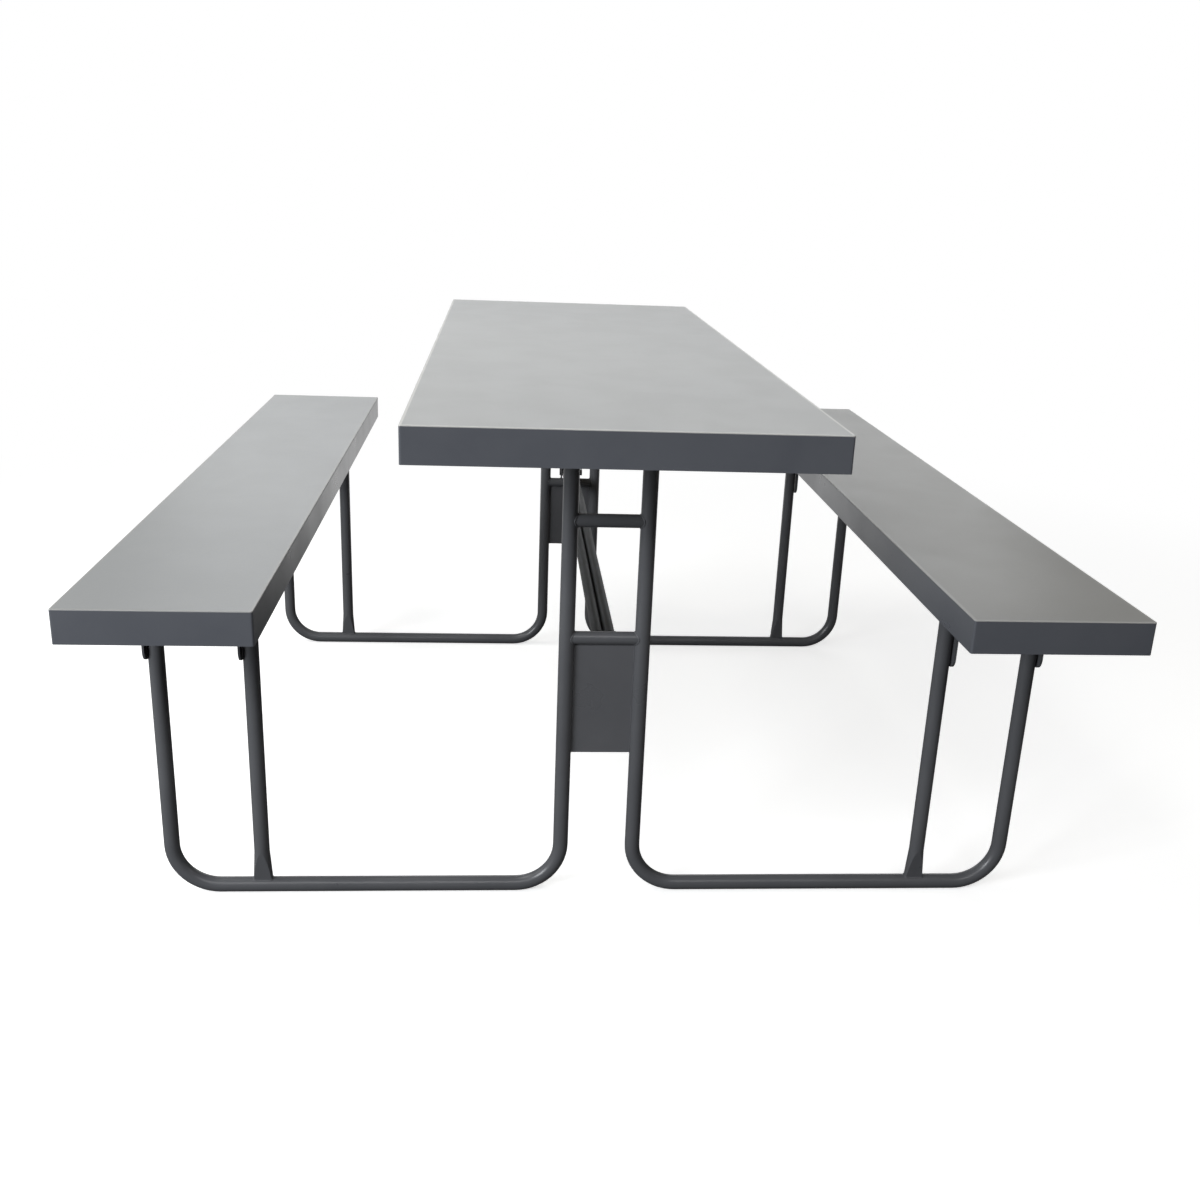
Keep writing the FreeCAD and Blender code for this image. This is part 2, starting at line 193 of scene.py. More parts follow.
def noise(tree, vector, scale, detail=3.0, roughness=0.5, distortion=0.0):
    """The value of a Noise Texture node."""
    inputs = {"Vector": vector, "Scale": scale, "Detail": detail, "Roughness": roughness,
              "Distortion": distortion}
    return add(tree, "ShaderNodeTexNoise", inputs).outputs["Fac"]


def new_group(name, kind, inputs, outputs):
    """An empty node group with named sockets. Returns it, its input node and its output node."""
    tree = bpy.data.node_groups.new(name, kind)
    for label, socket_type, value in inputs:
        socket = tree.interface.new_socket(label, in_out="INPUT", socket_type=socket_type)
        if value is not None:
            socket.default_value = value
    for label, socket_type in outputs:
        tree.interface.new_socket(label, in_out="OUTPUT", socket_type=socket_type)
    return tree, tree.nodes.new("NodeGroupInput"), tree.nodes.new("NodeGroupOutput")


def use_group(tree, group, inputs):
    """The outputs of a node that places a shader group with its own values."""
    return add(tree, "ShaderNodeGroup", inputs, node_tree=group).outputs


# ---- effects that several finishes share ----

def clouds_group():
    """Slow changes of tone, such as handling leaves on a large surface."""
    tree, given, out = new_group(
        "Soft Clouds", "ShaderNodeTree",
        [("Vector", "NodeSocketVector", None), ("Size", "NodeSocketFloat", 0.2),
         ("Contrast", "NodeSocketFloat", 1.0)],
        [("Mask", "NodeSocketFloat")])
    scale = calc(tree, "DIVIDE", 1.0, given.outputs["Size"])
    tone = noise(tree, given.outputs["Vector"], scale, detail=4.0, roughness=0.55, distortion=0.4)
    middle_tone = 0.5
    spread = calc(tree, "DIVIDE", 0.22, given.outputs["Contrast"])
    low = calc(tree, "SUBTRACT", middle_tone, spread)
    high = calc(tree, "ADD", middle_tone, spread)
    tree.links.new(ramp(tree, tone, low, high), out.inputs["Mask"])
    return tree


def grain_group():
    """Fine grain of an even size: its height, and a speckle that marks its highest points."""
    tree, given, out = new_group(
        "Fine Grain", "ShaderNodeTree",
        [("Vector", "NodeSocketVector", None), ("Size", "NodeSocketFloat", 0.001)],
        [("Height", "NodeSocketFloat"), ("Speckle", "NodeSocketFloat")])
    scale = calc(tree, "DIVIDE", 1.0, given.outputs["Size"])
    height = noise(tree, given.outputs["Vector"], scale, detail=2.0, roughness=0.45)
    tree.links.new(height, out.inputs["Height"])
    tree.links.new(ramp(tree, height, 0.56, 0.72), out.inputs["Speckle"])
    return tree


def scuffs_group():
    """Short faint rubs that lie along Y, in clumps."""
    tree, given, out = new_group(
        "Scuffs", "ShaderNodeTree",
        [("Vector", "NodeSocketVector", None), ("Width", "NodeSocketFloat", 0.002),
         ("Stretch", "NodeSocketFloat", 12.0), ("Amount", "NodeSocketFloat", 0.5)],
        [("Mask", "NodeSocketFloat")])
    parts = split(tree, given.outputs["Vector"])
    along = calc(tree, "DIVIDE", parts["Y"], given.outputs["Stretch"])
    squeezed = add(tree, "ShaderNodeCombineXYZ",
                   {"X": parts["X"], "Y": along, "Z": parts["Z"]}).outputs[0]
    scale = calc(tree, "DIVIDE", 1.0, given.outputs["Width"])
    rubs = ramp(tree, noise(tree, squeezed, scale, detail=2.0, distortion=0.6), 0.60, 0.70)
    widths_per_clump = 40.0
    clump_scale = calc(tree, "DIVIDE", scale, widths_per_clump)
    clumps = ramp(tree, noise(tree, given.outputs["Vector"], clump_scale), 0.48, 0.62)
    mask = calc(tree, "MULTIPLY", calc(tree, "MULTIPLY", rubs, clumps), given.outputs["Amount"])
    tree.links.new(mask, out.inputs["Mask"])
    return tree


def edge_group():
    """1 within a band along the outline of a rectangle in plan, 0 inside it."""
    tree, given, out = new_group(
        "Edge Band", "ShaderNodeTree",
        [("Vector", "NodeSocketVector", None), ("Middle", "NodeSocketVector", (0.0, 0.0, 0.0)),
         ("Half Size", "NodeSocketVector", (1.0, 1.0, 1.0)), ("Band", "NodeSocketFloat", 0.004),
         ("Softness", "NodeSocketFloat", 0.002)],
        [("Mask", "NodeSocketFloat")])
    from_middle = vector_calc(tree, "SUBTRACT", given.outputs["Vector"], given.outputs["Middle"])
    reach = add(tree, "ShaderNodeVectorMath", {0: from_middle}, operation="ABSOLUTE").outputs[0]
    past = vector_calc(tree, "SUBTRACT", reach, given.outputs["Half Size"])
    parts = split(tree, past)
    nearest = calc(tree, "MAXIMUM", parts["X"], parts["Y"])
    high = calc(tree, "MULTIPLY", given.outputs["Band"], -1.0)
    low = calc(tree, "SUBTRACT", high, given.outputs["Softness"])
    tree.links.new(ramp(tree, nearest, low, high), out.inputs["Mask"])
    return tree


CLOUDS = clouds_group()
GRAIN = grain_group()
SCUFFS = scuffs_group()
EDGE = edge_group()


# ---- finishes ----

LAMINATE_SPECKLE = (0.46, 0.465, 0.47, 1)
LAMINATE_RUB = (0.50, 0.50, 0.49, 1)
DARK_EDGE = (0.125, 0.132, 0.150, 1)     # the rim's charcoal, on the lower part of a sheet's edge
PAINT_RUB = (0.17, 0.175, 0.185, 1)
PAINT_WORN = (0.20, 0.195, 0.19, 1)
CHIP_DARK = (0.33, 0.235, 0.14, 1)
CHIP_LIGHT = (0.56, 0.44, 0.30, 1)
BOARD_STAIN = (0.30, 0.22, 0.14, 1)
BOARD_SPECKLE = (0.62, 0.52, 0.38, 1)
STEEL_RUB = (0.52, 0.52, 0.52, 1)


def new_material(name, **shader_inputs):
    """A material with a Principled shader. Returns it, its tree, its shader and its coordinates."""
    material = bpy.data.materials.new(name)
    material.use_nodes = True
    tree = material.node_tree
    shader = tree.nodes["Principled BSDF"]
    for label, value in shader_inputs.items():
        shader.inputs[label.replace("_", " ")].default_value = value
    place = add(tree, "ShaderNodeTexCoord").outputs["Object"]
    return material, tree, shader, place


def cloud_mask(tree, place, size, contrast=1.0):
    """Slow changes of tone, of a size in metres."""
    return use_group(tree, CLOUDS, {"Vector": place, "Size": size, "Contrast": contrast})["Mask"]


def fine_grain(tree, place, size):
    """The outputs Height and Speckle of a grain of a size in metres."""
    return use_group(tree, GRAIN, {"Vector": place, "Size": size})


def scuff_mask(tree, place, width, stretch, amount):
    """Rubs of a width in metres, so many times as long as wide."""
    return use_group(tree, SCUFFS, {"Vector": place, "Width": width, "Stretch": stretch,
                                    "Amount": amount})["Mask"]


def dress(tree, shader, colour, dull, height, depth, strength=1.0):
    """Feeds a shader its colour, its roughness and a height of 0 to 1 that is depth metres deep."""
    tree.links.new(colour, shader.inputs["Base Color"])
    tree.links.new(dull, shader.inputs["Roughness"])
    bump = add(tree, "ShaderNodeBump", {"Height": height, "Distance": depth, "Strength": strength})
    tree.links.new(bump.outputs["Normal"], shader.inputs["Normal"])


def laminate(top, dark, light, highlight_colour):
    """Grey high-pressure laminate of one top. The upper part of its edge is painted paler in the
    last argument's colour: a painted highlight on the rounded edge.
    """
    middle = box_middle(top + "_surface")
    half = box_half(top + "_surface")
    material, tree, shader, place = new_material(top + " laminate", IOR=1.5)
    clouds = cloud_mask(tree, place, size=0.22)
    smears = cloud_mask(tree, place, size=0.07, contrast=1.4)
    grain = fine_grain(tree, place, size=0.0011)
    scuffs = scuff_mask(tree, place, width=0.0016, stretch=14.0, amount=0.5)
    # The band along the outline that is painted paler as the painted highlight of the edge.
    edge = use_group(tree, EDGE, {"Vector": place, "Middle": middle, "Half Size": half,
                                  "Band": 0.0025, "Softness": 0.002})["Mask"]
    colour = blend_colour(tree, clouds, dark, light)
    colour = tinted(tree, grain["Speckle"], 0.35, colour, LAMINATE_SPECKLE)
    colour = tinted(tree, scuffs, 0.25, colour, LAMINATE_RUB)
    colour = blend_colour(tree, edge, colour, highlight_colour)
    top_z = middle.z + half.z
    dark_z, pale_z = (top_z - depth for depth in dark_edge)
    overlap = ramp(tree, split(tree, place)["Z"], dark_z, pale_z, 1.0, 0.0)
    colour = blend_colour(tree, overlap, colour, DARK_EDGE)
    dull = raised(tree, 0.37, (smears, 0.025), (scuffs, 0.15))
    dress(tree, shader, colour, dull, grain["Height"], depth=0.00003)
    return material


def charcoal_paint(name, dark, light, foot_wear=0.0, dullness=0.27, shine=0.5):
    """Charcoal powder paint with a slight orange peel. foot_wear is how much the paint is rubbed
    pale where it stands on the floor."""
    material, tree, shader, place = new_material(name, IOR=1.5, Specular_IOR_Level=shine)
    clouds = cloud_mask(tree, place, size=0.12)
    peel = fine_grain(tree, place, size=0.0016)
    scuffs = scuff_mask(tree, place, width=0.0011, stretch=8.0, amount=0.6)
    near_floor = ramp(tree, split(tree, place)["Z"], 0.001, 0.006, foot_wear, 0.0)
    patches = ramp(tree, noise(tree, place, scale=160.0, detail=4.0), 0.42, 0.60)
    worn = calc(tree, "MULTIPLY", near_floor, patches)
    colour = blend_colour(tree, clouds, dark, light)
    colour = tinted(tree, scuffs, 0.30, colour, PAINT_RUB)
    colour = blend_colour(tree, worn, colour, PAINT_WORN)
    dull = raised(tree, dullness, (clouds, 0.07), (scuffs, 0.20), (worn, 0.30))
    dress(tree, shader, colour, dull, peel["Height"], depth=0.00006)
    return material


def particle_board():
    """Pressed wood chips under a thin sealer, as on the underside of the boards."""
    material, tree, shader, place = new_material("particle board", IOR=1.45)
    cells = add(tree, "ShaderNodeTexVoronoi", {"Vector": place, "Scale": 320.0, "Randomness": 1.0})
    shade = add(tree, "ShaderNodeSeparateColor", {0: cells.outputs["Color"]}).outputs[0]
    clouds = cloud_mask(tree, place, size=0.15)
    grain = fine_grain(tree, place, size=0.0009)
    colour = blend_colour(tree, shade, CHIP_DARK, CHIP_LIGHT)
    colour = tinted(tree, clouds, 0.3, colour, BOARD_STAIN)
    colour = tinted(tree, grain["Speckle"], 0.3, colour, BOARD_SPECKLE)
    dull = ramp(tree, shade, 0.0, 1.0, 0.72, 0.88)
    dress(tree, shader, colour, dull, shade, depth=0.00015, strength=0.6)
    return material


def plated_steel(name, dark, light, dullness):
    """Zinc-plated steel, a little cloudy, with fine tool marks."""
    material, tree, shader, place = new_material(name, Metallic=0.9)
    clouds = cloud_mask(tree, place, size=0.004)
    grain = fine_grain(tree, place, size=0.0004)
    scuffs = scuff_mask(tree, place, width=0.0003, stretch=6.0, amount=0.7)
    colour = blend_colour(tree, clouds, dark, light)
    colour = tinted(tree, scuffs, 0.4, colour, STEEL_RUB)
    dull = raised(tree, dullness, (clouds, 0.14))
    dress(tree, shader, colour, dull, grain["Height"], depth=0.00002)
    return material


# Each top's darker and lighter grey, and the colour of its painted edge highlight, which is dimmer
# on the benches. The left bench's bluer grey and the right bench's warmer grey are painted tints of
# the light that falls on them.
LAMINATES = {
    "table": laminate("table", (0.373, 0.376, 0.374, 1), (0.388, 0.391, 0.387, 1),
                      (0.60, 0.595, 0.575, 1)),
    "left_bench": laminate("left_bench", (0.366, 0.373, 0.380, 1), (0.380, 0.387, 0.393, 1),
                           (0.40, 0.40, 0.395, 1)),
    "right_bench": laminate("right_bench", (0.380, 0.377, 0.362, 1), (0.394, 0.390, 0.376, 1),
                            (0.47, 0.465, 0.45, 1))}
RIM_PAINT = charcoal_paint("rim paint", (0.118, 0.125, 0.144, 1), (0.132, 0.139, 0.157, 1))
TUBE_PAINT = charcoal_paint("tube paint", (0.118, 0.121, 0.130, 1), (0.133, 0.136, 0.145, 1),
                            foot_wear=0.8)
# A lighter charcoal for the centre plates: painted light, which makes them lighter than the tubes
# of the same frame.
PLATE_LIT_PAINT = charcoal_paint("plate lit paint", (0.134, 0.136, 0.146, 1), (0.148, 0.150, 0.160, 1))
# Near-black and dull: painted shade of the table over the stay.
STAY_SHADE_PAINT = charcoal_paint("stay shaded paint", (0.016, 0.017, 0.018, 1), (0.021, 0.022, 0.023, 1),
                            dullness=0.42, shine=0.12)
# A darker charcoal for the channels and riser brackets under the tops: painted shade of the tops
# over them.
UNDERSIDE_SHADE_PAINT = charcoal_paint("underside shaded paint", (0.052, 0.055, 0.062, 1),
                              (0.066, 0.069, 0.076, 1))
BOARD = particle_board()
PIVOT_STEEL = plated_steel("pivot steel", (0.10, 0.10, 0.105, 1), (0.20, 0.20, 0.205, 1), 0.34)
SCREW_ZINC = plated_steel("screw zinc", (0.40, 0.40, 0.41, 1), (0.55, 0.55, 0.54, 1), 0.26)


def finish_of(node):
    """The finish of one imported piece."""
    for top, material in LAMINATES.items():
        if node == top + "_surface":
            return material
    if node.endswith("_board"):
        return BOARD
    if node.endswith(("_bolt", "_bolts", "_nut", "_nuts", "_pins")):
        return PIVOT_STEEL
    if node.endswith(("_apron", "_skirt")):
        return RIM_PAINT
    # Pieces under the tops take the darker charcoal of painted shade.
    if "_channel_" in node or node.startswith("riser_bracket_"):
        return UNDERSIDE_SHADE_PAINT
    # The stay and its welds take the near-black paint of painted shade.
    if node.startswith("stay_"):
        return STAY_SHADE_PAINT
    # The centre plates take the lighter charcoal of painted light.
    if node.endswith("_plate"):
        return PLATE_LIT_PAINT
    return TUBE_PAINT


for node_name, node_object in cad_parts.items():
    for slot in node_object.material_slots:
        slot.material = finish_of(node_name)


# ---- weld beads ----

def weld_tree():
    """Runs a rippled bead along every path of the mesh it is given."""
    tree, given, out = new_group(
        "Weld Bead", "GeometryNodeTree",
        [("Paths", "NodeSocketGeometry", None), ("Bead Radius", "NodeSocketFloat", bead_radius),
         ("Ripple", "NodeSocketFloat", bead_ripple), ("Pitch", "NodeSocketFloat", ripple_pitch),
         ("Step", "NodeSocketFloat", ripple_pitch / steps_per_ripple),
         ("Finish", "NodeSocketMaterial", None)],
        [("Bead", "NodeSocketGeometry")])
    curves = add(tree, "GeometryNodeMeshToCurve", {"Mesh": given.outputs["Paths"]})
    even = add(tree, "GeometryNodeResampleCurve",
               {"Curve": curves.outputs[0], "Length": given.outputs["Step"]}, mode="LENGTH")
    length = add(tree, "GeometryNodeSplineParameter").outputs["Length"]
    turns = calc(tree, "MULTIPLY", calc(tree, "DIVIDE", length, given.outputs["Pitch"]), math.pi)
    wave = calc(tree, "ABSOLUTE", calc(tree, "SINE", turns))
    swell = calc(tree, "MULTIPLY", wave, given.outputs["Ripple"])
    uneven = add(tree, "FunctionNodeRandomValue", {"Seed": 7}, data_type="FLOAT")
    for identifier, limit in zip(("Min_001", "Max_001"), bead_evenness):
        named_socket(uneven.inputs, identifier).default_value = limit
    scale = calc(tree, "ADD", calc(tree, "SUBTRACT", 1.0, given.outputs["Ripple"]), swell)
    scale = calc(tree, "MULTIPLY", scale, named_socket(uneven.outputs, "Value_001"))
    ring = add(tree, "GeometryNodeCurvePrimitiveCircle",
               {"Resolution": bead_sides, "Radius": given.outputs["Bead Radius"]})
    bead = add(tree, "GeometryNodeCurveToMesh",
               {"Curve": even.outputs[0], "Profile Curve": ring.outputs[0], "Scale": scale,
                "Fill Caps": True})
    soft = add(tree, "GeometryNodeSetShadeSmooth", {"Geometry": bead.outputs[0]})
    real = add(tree, "GeometryNodeRealizeInstances", {"Geometry": soft.outputs[0]})
    coated = add(tree, "GeometryNodeSetMaterial",
                 {"Geometry": real.outputs[0], "Material": given.outputs["Finish"]})
    tree.links.new(coated.outputs[0], out.inputs["Bead"])
    return tree


def set_tree_inputs(modifier, values):
    """Sets a tree's inputs on its modifier, found by their names and set by their identifiers."""
    sockets = {s.name: s.identifier for s in modifier.node_group.interface.items_tree
               if s.item_type == "SOCKET" and s.in_out == "INPUT"}
    for name, value in values.items():
        modifier[sockets[name]] = value


def grown(name, base_mesh, tree, values):
    """A plain mesh piece: what a geometry tree makes of a base mesh."""
    base = bpy.data.objects.new(name + "_base", base_mesh)
    bpy.context.scene.collection.objects.link(base)
    modifier = base.modifiers.new("grow", "NODES")
    modifier.node_group = tree
    set_tree_inputs(modifier, values)
    evaluated = base.evaluated_get(bpy.context.evaluated_depsgraph_get())
    mesh = bpy.data.meshes.new_from_object(evaluated)
    base.modifiers.remove(modifier)
    bpy.data.objects.remove(base)
    mesh.name = name
    piece = bpy.data.objects.new(name, mesh)
    bpy.context.scene.collection.objects.link(piece)
    return piece


def path_mesh(name, paths):
    """A mesh of bare edges from (points, closed) paths."""
    points = []
    edges = []
    for path, closed in paths:
        first = len(points)
        points.extend(path)
        last = len(points) - 1
        edges.extend((k, k + 1) for k in range(first, last))
        if closed:
            edges.append((last, first))
    mesh = bpy.data.meshes.new(name)
    mesh.from_pydata(points, edges, [])
    return mesh


def turn(start, end, count):
    """Evenly spaced angles in radians from start to end, both in degrees."""
    return [math.radians(start + (end - start) * k / (count - 1)) for k in range(count)]


def whole_turn(count):
    """Angles of a closed ring, without a repeated last one."""
    return [2 * math.pi * k / count for k in range(count)]


def foot_path(x, y):
    """Round the pressed foot of a post, on the round top of the rail."""
    points = []
    for a in whole_turn(foot_bead_points):
        across = foot_half_width * math.cos(a)
        depth = max(-foot_half_thickness, min(foot_half_thickness, foot_half_width * math.sin(a)))
        points.append((x + across, y + depth, rail_z + math.sqrt(tube_radius ** 2 - depth ** 2)))
    return points, True


def bar_end_path(side, y, z):
    """Round the end of a cross bar, on the riser's side."""
    points = []
    for a in whole_turn(bar_bead_points):
        across = bar_radius * math.cos(a)
        x = riser_x - math.sqrt(tube_radius ** 2 - across ** 2)
        points.append((side * x, y + across, z + bar_radius * math.sin(a)))
    return points, True


def plate_paths(plate):
    """Stitches down both sides of a centre plate and along its top edge, on both faces."""
    y = box_middle(plate).y
    low_z, top_z = (corner[2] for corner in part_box(plate))
    paths = []
    gap = (top_z - low_z - stitch_length) / (plate_stitches - 1)
    bar_gap = plate_half_width / bar_stitches
    for face in SIDES:
        face_y = y + face * (plate_half_thickness + small_bead_radius / 2)
        for side in SIDES:
            x = side * (plate_half_width - small_bead_radius / 4)
            for k in range(plate_stitches):
                low = low_z + k * gap
                paths.append(([(x, face_y, low), (x, face_y, low + stitch_length)], False))
            middle = side * bar_gap
            z = top_z - small_bead_radius / 4
            paths.append(([(middle - stitch_length / 2, face_y, z),
                           (middle + stitch_length / 2, face_y, z)], False))
    return paths


def lug_path(side, bar, eye):
    """Along the outer face of a stay lug where it sits on the lower bar."""
    x = side * (lug_face_x + small_bead_radius / 4)
    radius = bar_radius + small_bead_radius / 4
    middle = box_middle(bar)
    towards = box_middle(eye) - middle
    facing = math.degrees(math.atan2(towards.z, towards.y))
    angles = turn(facing - lug_half_turn, facing + lug_half_turn, lug_bead_points)
    points = [(x, middle.y + radius * math.cos(a), middle.z + radius * math.sin(a)) for a in angles]
    return points, False


def eye_paths(eye, towards):
    """Over the top and under the bottom of both stay tubes where they meet an eye. towards is the
    way along Y from the eye to its tubes."""
    middle = box_middle(eye)
    paths = []
    for side in SIDES:
        for start, end in eye_bead_arcs:
            points = []
            for a in turn(start, end, eye_bead_points):
                rise = stay_tube_radius * math.sin(a)
                reach = math.sqrt(stay_eye_radius ** 2 - rise ** 2)
                points.append((side * stay_tube_x + stay_tube_radius * math.cos(a),
                               middle.y + towards * reach, middle.z + rise))
            paths.append((points, False))
    return paths


def seam_paths(rim):
    """The mitre seams across the lip of a rim, at its four corners."""
    low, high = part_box(rim)
    paths = []
    for x, x_in in ((low[0], 1), (high[0], -1)):
        for y, y_in in ((low[1], 1), (high[1], -1)):
            outer = (x + x_in * seam_start, y + y_in * seam_start, low[2])
            inner = (x + x_in * rim_lip, y + y_in * rim_lip, low[2])
            paths.append(([outer, inner], False))
    return paths


def frame_weld_paths(place):
    """The beads of one end frame: posts on rails, lugs on the lower bar, bars between risers."""
    y = box_middle(place + "_centre_plate").y
    paths = []
    for side in SIDES:
        paths.append(foot_path(side * post_x, y))
        paths.append(lug_path(side, place + "_lower_bar", "stay_eye_" + place))
        for bar in ("_lower_bar", "_upper_bar"):
            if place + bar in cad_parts:
                paths.append(bar_end_path(side, y, box_middle(place + bar).z))
    return paths


def weld_piece(name, paths, body, radius, paint):
    """A welded piece on one body, in the paint of what it joins."""
    values = {"Bead Radius": radius, "Ripple": bead_ripple, "Pitch": ripple_pitch,
              "Step": ripple_pitch / steps_per_ripple, "Finish": paint}
    piece = grown(name, path_mesh(name, paths), WELD_TREE, values)
    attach(piece, body)


WELD_TREE = weld_tree()
for frame_place in ("front", "rear"):
    frame_body = frame_place + "_frame"
    weld_piece(frame_body + "_welds", frame_weld_paths(frame_place), frame_body, bead_radius,
               TUBE_PAINT)
    weld_piece(frame_body + "_plate_welds", plate_paths(frame_place + "_centre_plate"), frame_body,
               small_bead_radius, PLATE_LIT_PAINT)
weld_piece("stay_welds", eye_paths("stay_eye_front", 1) + eye_paths("stay_eye_rear", -1), "stay",
           small_bead_radius, STAY_SHADE_PAINT)
weld_piece("table_apron_seams", seam_paths("table_apron"), "tabletop", seam_radius, RIM_PAINT)
for bench_name in BENCHES:
    weld_piece(bench_name + "_skirt_seams", seam_paths(bench_name + "_skirt"), bench_name,
               seam_radius, RIM_PAINT)


# ---- screws ----

def stacked_rings(name, rings):
    """An object of rings, one inside or above the other, closed with a flat face at both ends. Each
    ring runs counterclockwise as seen from +Z, with equally many points."""
    count = len(rings[0])
    points = [point for ring in rings for point in ring]
    faces = [tuple(reversed(range(count)))]
    for k in range(len(rings) - 1):
        for i in range(count):
            a = k * count + i
            b = k * count + (i + 1) % count
            faces.append((a, b, b + count, a + count))
    faces.append(tuple(range(len(points) - count, len(points))))
    mesh = bpy.data.meshes.new(name)
    mesh.from_pydata(points, [], faces)
    mesh.shade_smooth()
    mesh.set_sharp_from_angle(angle=math.radians(smooth_below))
    return bpy.data.objects.new(name, mesh)


def ring_at(outline, radius, z):
    """A round ring with its points in the directions of an outline's points."""
    return [(radius * x / math.hypot(x, y), radius * y / math.hypot(x, y), z) for x, y in outline]


def quarter_turns(points):
    """Points in the quarter around +X, repeated for all four."""
    outline = []
    for c, s in ((1, 0), (0, 1), (-1, 0), (0, -1)):
        outline.extend((c * x - s * y, s * x + c * y) for x, y in points)
    return outline


def pan_head():
    """A domed screw head with a cross recess, its seat at z = 0 and its dome upward."""
    def dome(x, y):
        """The dome's height over a point."""
        return pan_head_height * (1 - (x * x + y * y) / pan_head_radius ** 2) ** dome_power

    arm = recess_arm * pan_head_radius
    half = recess_half_width * pan_head_radius
    between = (arm + half) / 2
    middle, tip = (share * half for share in recess_taper)
    cross = quarter_turns([(between, -middle), (arm, -tip), (recess_tip * arm, 0.0), (arm, tip),
                           (between, middle), (half, half)])
    rings = [ring_at(cross, pan_head_radius, 0.0)]
    for share in dome_rings:
        radius = share * pan_head_radius
        rings.append(ring_at(cross, radius, dome(radius, 0.0)))
    rings.append([(x, y, dome(x, y)) for x, y in cross])
    size, height = recess_floor
    rings.append([(size * x, size * y, height * pan_head_height) for x, y in cross])
    return stacked_rings("pan_head", rings)


def hex_head():
    """A hexagon head with chamfered corners on a round washer, its seat at z = 0."""
    corner = hex_head_width / math.sqrt(3)
    flat = hex_flat_top * hex_head_width / 2
    top_z = washer_thickness + hex_head_height
    corners = [Vector((math.cos(a), math.sin(a))) * corner for a in whole_turn(6)]
    hexagon = []
    for k in range(6):
        step = (corners[(k + 1) % 6] - corners[k]) / hex_points_per_side
        hexagon.extend(tuple(corners[k] + step * n) for n in range(hex_points_per_side))
    chamfer = [(x, y, top_z - hex_chamfer_slope * (math.hypot(x, y) - flat)) for x, y in hexagon]
    rings = [ring_at(hexagon, washer_radius, 0.0),
             ring_at(hexagon, washer_radius, washer_thickness),
             [(x, y, washer_thickness) for x, y in hexagon], chamfer,
             ring_at(hexagon, flat, top_z)]
    return stacked_rings("hex_head", rings)


def screw_tree():
    """Hangs a screw head, top down, at every point it is given, each turned its own way."""
    tree, given, out = new_group(
        "Screws", "GeometryNodeTree",
        [("Seats", "NodeSocketGeometry", None), ("Head", "NodeSocketObject", None),
         ("Seed", "NodeSocketInt", 3), ("Finish", "NodeSocketMaterial", None)],
        [("Screws", "NodeSocketGeometry")])
    head = add(tree, "GeometryNodeObjectInfo",
               {"Object": given.outputs["Head"]}).outputs["Geometry"]
    spin = add(tree, "FunctionNodeRandomValue", {"Seed": given.outputs["Seed"]}, data_type="FLOAT")
    named_socket(spin.inputs, "Max_001").default_value = 2 * math.pi
    turned = add(tree, "ShaderNodeCombineXYZ",
                 {"X": math.pi, "Z": named_socket(spin.outputs, "Value_001")}).outputs[0]
    rotation = add(tree, "FunctionNodeEulerToRotation", {0: turned}).outputs[0]
    placed = add(tree, "GeometryNodeInstanceOnPoints",
                 {"Points": given.outputs["Seats"], "Instance": head, "Rotation": rotation})
    real = add(tree, "GeometryNodeRealizeInstances", {"Geometry": placed.outputs[0]})
    coated = add(tree, "GeometryNodeSetMaterial",
                 {"Geometry": real.outputs[0], "Material": given.outputs["Finish"]})
    tree.links.new(coated.outputs[0], out.inputs["Screws"])
    return tree


def channel_seats(channel):
    """Under both flanges of a cross channel."""
    low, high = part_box(channel)
    z = high[2] - channel_thickness
    first = low[0] + flange_end_inset
    gap = (high[0] - low[0] - 2 * flange_end_inset) / (screws_per_flange - 1)
    return [(first + k * gap, y, z) for k in range(screws_per_flange)
            for y in (low[1] + flange_screw_inset, high[1] - flange_screw_inset)]


def bracket_seats(bracket):
    """Under both ends of a bracket's base."""
    low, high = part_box(bracket)
    x = box_middle(bracket).x
    z = high[2] - bracket_thickness
    return [(x, y, z) for y in (low[1] + bracket_screw_inset, high[1] - bracket_screw_inset)]


def screw_piece(name, seats, head, body):
    """All screws of one kind on one body."""
    mesh = bpy.data.meshes.new(name)
    mesh.from_pydata(seats, [], [])
    piece = grown(name, mesh, SCREW_TREE, {"Head": head, "Seed": 3, "Finish": SCREW_ZINC})
    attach(piece, body)


SCREW_TREE = screw_tree()
pan_screw = pan_head()
hex_screw = hex_head()
for top, top_body, bracket_start in (("table", "tabletop", "riser_bracket_"),
                                     ("left_bench", "left_bench", "left_bench_bracket_"),
                                     ("right_bench", "right_bench", "right_bench_bracket_")):
    pan_seats = []
    hex_seats = []
    for node_name in sorted(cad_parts):
        if node_name.startswith(top + "_channel_"):
            pan_seats += channel_seats(node_name)
        if node_name.startswith(bracket_start):
            hex_seats += bracket_seats(node_name)
    screw_piece(top + "_channel_screws", pan_seats, pan_screw, top_body)
    screw_piece(top + "_bracket_screws", hex_seats, hex_screw, top_body)
for head_object in (pan_screw, hex_screw):
    bpy.data.objects.remove(head_object)


# ---- studio ----

WHITE = (1, 1, 1, 1)
FLOOR_PALE = (0.9, 0.9, 0.9, 1)
FLOOR_DARK = (0.09, 0.09, 0.09, 1)
WALLS = (0.96, 0.98, 1.0, 1)
floor_reach = 40.0
floor_glow = 0.62            # light that the floor gives off to the eye, beside what falls on it
eye_fade = (1.2, 3.0)        # distances from the middle: the floor turns white to the eye
bounce_fade = (0.4, 2.2)     # places along Y: the floor turns white as a reflector
wall_light = 0.02
middle_of_table = (0.0, 0.0, 0.5)
